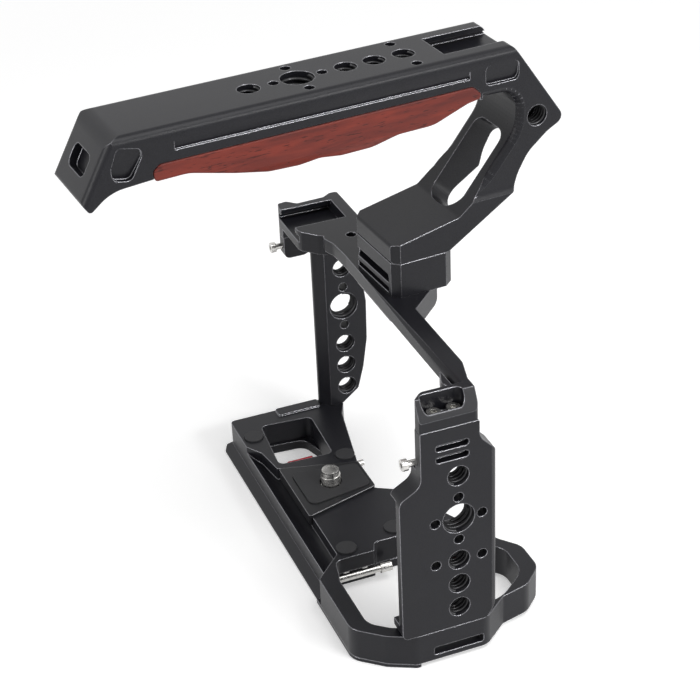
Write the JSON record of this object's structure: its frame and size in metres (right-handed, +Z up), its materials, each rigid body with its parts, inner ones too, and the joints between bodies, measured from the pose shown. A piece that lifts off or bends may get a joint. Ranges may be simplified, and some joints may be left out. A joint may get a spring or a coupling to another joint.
{
  "type": "camera cage",
  "caption": "Metal camera cage with a grip loop, drilled side columns, a cold shoe and a raised top handle with wooden side inserts.",
  "frame": {"origin": "the camera screw's axis at the seat plane, where the camera's base rests", "axes": "+X across the cage to the grip-side column, +Y forward to the lens, +Z up along the camera screw"},
  "size_m": [0.1302, 0.1442, 0.1564],
  "materials": {
    "frame_metal": "satin black anodised, bead-blasted",
    "handle_metal": "satin black anodised, bead-blasted",
    "steel": "plain stainless steel",
    "rubber": "matte",
    "red": "red anodised",
    "wood": "oiled reddish brown hardwood"
  },
  "bodies": {
    "cage": {"base_frame": "frame_metal", "dovetail_plate": "frame_metal", "dovetail_screws": "steel", "grip_column": "frame_metal", "far_column": "frame_metal", "centre_plate": "frame_metal", "seat_pad": "rubber", "round_pads": "rubber", "key_magnets": "steel", "top_bridge": "frame_metal", "bracket_screws": "steel"},
    "camera_screw": {"camera_screw": "steel", "screw_clip": "steel"},
    "hex_key": {"hex_key": "steel"},
    "lock_slide": {"lock_slide": "red"},
    "front_set_screw": {"front_set_screw": "steel"},
    "column_set_screw": {"column_set_screw": "steel"},
    "lug_set_screw": {"lug_set_screw": "steel"},
    "handle": {"mount_block": "handle_metal", "swivel_bolt": "steel", "swivel_washer": "steel", "locating_pins": "steel", "handle_body": "handle_metal", "wood_left": "wood", "wood_right": "wood", "wood_screws": "steel"},
    "shoe_stop_screw": {"shoe_stop_screw": "steel"}
  },
  "joints": [
    {"name": "camera_screw_turn", "type": "hinge", "parent": "cage", "child": "camera_screw", "pos_m": [0, 0, 0], "axis": [0, 0, 1], "continuous": true},
    {"name": "hex_key_pull", "type": "slide", "parent": "cage", "child": "hex_key", "axis": [1, 0, 0], "range_m": [0, 0.015]},
    {"name": "lock_push", "type": "slide", "parent": "cage", "child": "lock_slide", "axis": [1, 0, 0], "range_m": [0, 0.003]},
    {"name": "front_set_screw_turn", "type": "hinge", "parent": "cage", "child": "front_set_screw", "pos_m": [-0.0103, 0.0122, -0.0036], "axis": [0, 1, 0], "range_deg": [-720, 720]},
    {"name": "column_set_screw_turn", "type": "hinge", "parent": "cage", "child": "column_set_screw", "pos_m": [0.0757, -0.0026, 0.0556], "axis": [0, 1, 0], "range_deg": [-1080, 1080]},
    {"name": "lug_set_screw_turn", "type": "hinge", "parent": "cage", "child": "lug_set_screw", "pos_m": [-0.0456, 0.004, 0.0615], "axis": [0, 1, 0], "range_deg": [-1080, 1080]},
    {"name": "handle_swivel", "type": "hinge", "parent": "cage", "child": "handle", "pos_m": [0.0117, 0.022, 0.0754], "axis": [0, 0, 1], "continuous": true},
    {"name": "shoe_stop_turn", "type": "hinge", "parent": "handle", "child": "shoe_stop_screw", "pos_m": [0.0151, 0.04836, 0.14], "axis": [0, 0, 1], "range_deg": [-720, 720]}
  ]
}
